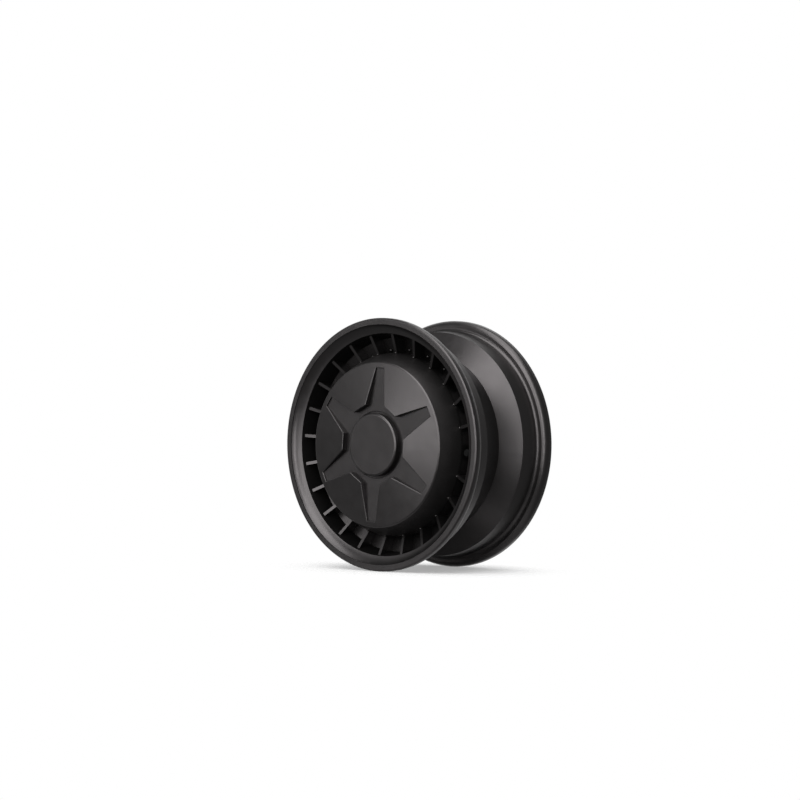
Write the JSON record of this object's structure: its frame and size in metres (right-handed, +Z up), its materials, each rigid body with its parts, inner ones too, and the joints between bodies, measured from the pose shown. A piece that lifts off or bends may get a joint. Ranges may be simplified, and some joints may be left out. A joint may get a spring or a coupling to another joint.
{
  "type": "hub motor",
  "caption": "Outer-rotor hub motor cast in one with a wide tubeless scooter rim: star face, finned cooling pocket, drop well and a single-sided stub axle.",
  "frame": {"origin": "the middle of the rim, on the axle's axis, halfway between the two flanges", "axes": "+Y along the axle towards its free end, the star face looks along -Y, +Z up as the wheel stands"},
  "size_m": [0.332, 0.234, 0.332],
  "materials": {
    "cast_black": "satin black coating on a casting",
    "cap_black": "satin black coating",
    "bearing_steel": "ground steel",
    "spring_steel": "phosphated spring steel",
    "axle_steel": "turned steel",
    "plated_steel": "zinc plated steel",
    "magnet": "nickel plated magnet",
    "black_screws": "black oxide",
    "gasket": "matte fibre gasket",
    "rubber": "matte rubber",
    "brass": "turned brass",
    "black_plastic": "matte black plastic",
    "aluminium": "machined aluminium",
    "lamination": "varnished electrical steel",
    "copper": "enamelled copper wire",
    "board": "solder masked circuit board"
  },
  "bodies": {
    "axle_assembly": {"axle": "axle_steel", "front_bearing_inner_race": "bearing_steel", "rear_bearing_inner_race": "bearing_steel", "front_axle_circlip": "spring_steel", "rear_axle_circlip": "spring_steel", "stator_carrier": "aluminium", "carrier_key": "axle_steel", "stator_core": "lamination", "stator_coils": "copper", "clamp_ring": "aluminium", "clamp_screws": "black_screws", "hall_sensor_board": "board", "hall_sensors": "black_plastic", "spacer_sleeve": "axle_steel", "cable_grommet": "rubber"},
    "wheel": {"wheel_casting": "cast_black", "centre_cap": "cap_black", "front_bearing_outer_race": "bearing_steel", "rear_bearing_outer_race": "bearing_steel", "front_bore_circlip": "spring_steel", "flux_ring": "plated_steel", "magnets": "magnet", "rear_cover": "cast_black", "cover_gasket": "gasket", "rear_cover_screws": "black_screws", "shaft_seal": "rubber", "valve_stem": "rubber", "valve_tube": "brass", "valve_cap": "black_plastic"}
  },
  "joints": [
    {"name": "wheel_spin", "type": "hinge", "parent": "axle_assembly", "child": "wheel", "pos_m": [0, 0, 0], "axis": [0, 1, 0], "continuous": true}
  ]
}
